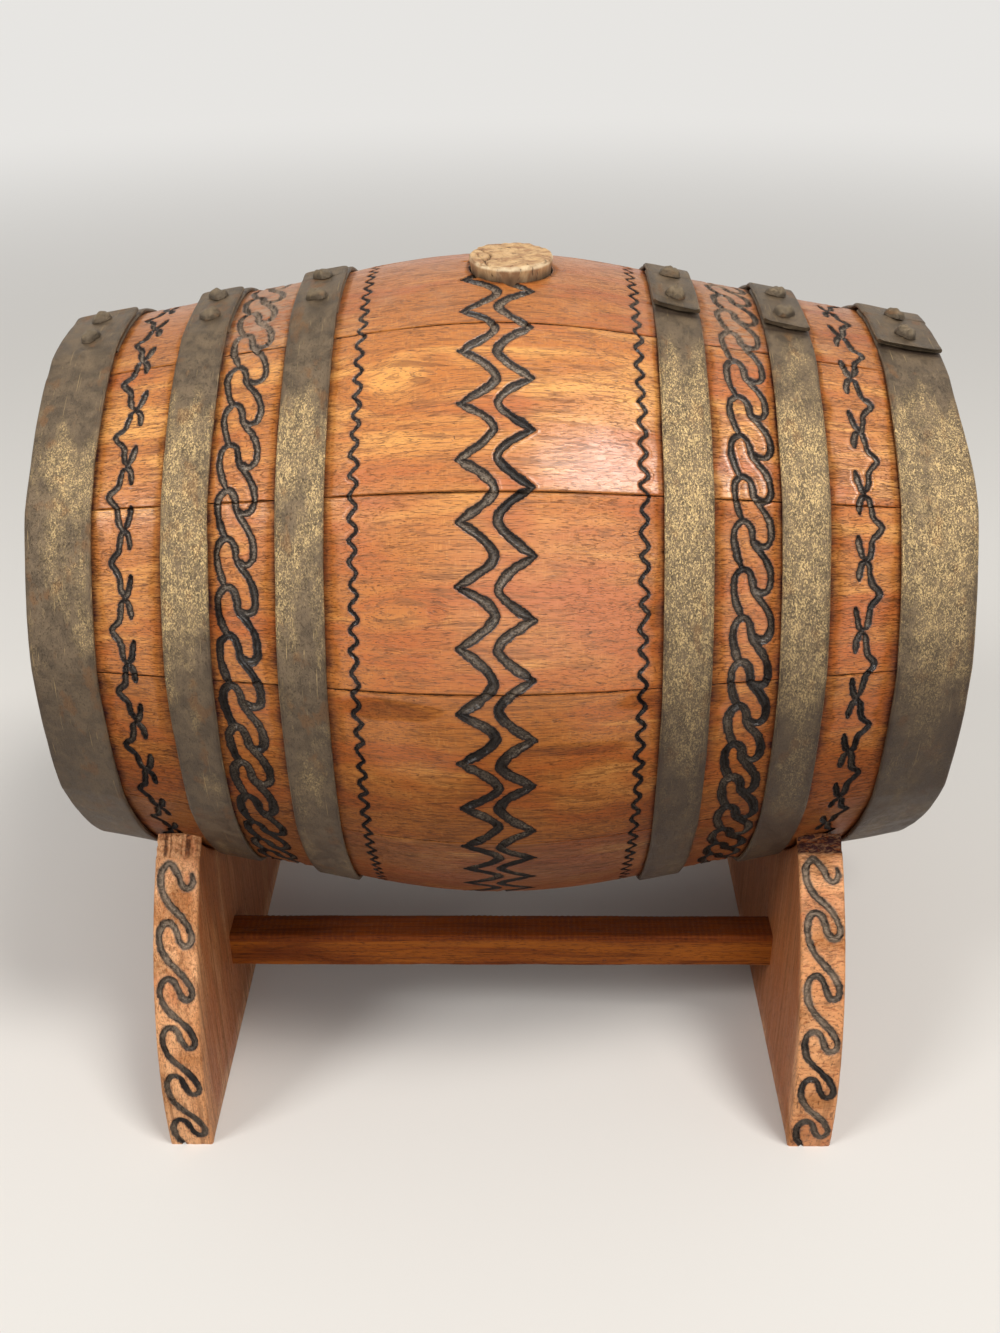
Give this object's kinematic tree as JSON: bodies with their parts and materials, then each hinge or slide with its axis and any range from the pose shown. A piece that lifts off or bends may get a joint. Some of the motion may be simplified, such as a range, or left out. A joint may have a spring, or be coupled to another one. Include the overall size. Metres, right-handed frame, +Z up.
{
  "type": "oak cask liquor dispenser",
  "caption": "Small carved oak cask with riveted hoops, a cork bung and a wooden tap, lying on a cradle of two half-moon boards joined by rails.",
  "frame": {"origin": "on the table, under the middle of the whole part including the tap's reach", "axes": "+Z up, +X along the cask towards the tap, -Y towards the front, where the carved staves face the viewer and the bung leans"},
  "size_m": [0.22, 0.1616, 0.2025],
  "materials": {
    "stave_wood": "semi-gloss varnish with burnt carved lines",
    "head_wood": "semi-gloss varnish",
    "hoop_metal": "aged dark bronze patina, satin",
    "rivet_metal": "aged dark bronze patina, worn bright on top",
    "cork": "raw cork, matte",
    "cradle_wood": "thin varnish with burnt carved lines on the edges",
    "rail_wood": "semi-gloss varnish",
    "tap_wood": "semi-gloss varnish",
    "key_wood": "semi-gloss varnish"
  },
  "bodies": {
    "stand": {"left_cradle_board": "cradle_wood", "right_cradle_board": "cradle_wood", "front_rail": "rail_wood", "rear_rail": "rail_wood"},
    "cask": {"stave_01": "stave_wood", "stave_02": "stave_wood", "stave_03": "stave_wood", "stave_04": "stave_wood", "stave_05": "stave_wood", "stave_06": "stave_wood", "stave_07": "stave_wood", "stave_08": "stave_wood", "stave_09": "stave_wood", "stave_10": "stave_wood", "stave_11": "stave_wood", "stave_12": "stave_wood", "left_head_front_board": "head_wood", "left_head_middle_board": "head_wood", "left_head_rear_board": "head_wood", "right_head_front_board": "head_wood", "right_head_middle_board": "head_wood", "right_head_rear_board": "head_wood", "left_bilge_hoop": "hoop_metal", "left_quarter_hoop": "hoop_metal", "left_chime_hoop": "hoop_metal", "right_bilge_hoop": "hoop_metal", "right_quarter_hoop": "hoop_metal", "right_chime_hoop": "hoop_metal", "left_bilge_rivets": "rivet_metal", "left_quarter_rivets": "rivet_metal", "left_chime_rivets": "rivet_metal", "right_bilge_rivets": "rivet_metal", "right_quarter_rivets": "rivet_metal", "right_chime_rivets": "rivet_metal", "tap_body": "tap_wood"},
    "bung": {"cork_bung": "cork"},
    "tap_key": {"tap_key": "key_wood"}
  },
  "joints": [
    {"name": "cask_lift", "type": "slide", "parent": "stand", "child": "cask", "axis": [0, 0, 1], "range_m": [0, 0.08]},
    {"name": "bung_pull", "type": "slide", "parent": "cask", "child": "bung", "axis": [0, -0.061, 0.9981], "range_m": [0, 0.03]},
    {"name": "tap_key_turn", "type": "hinge", "parent": "cask", "child": "tap_key", "pos_m": [0.0915, 0.00476, 0.07694], "axis": [0, -0.1132, 0.9936], "range_deg": [0, 90]}
  ]
}
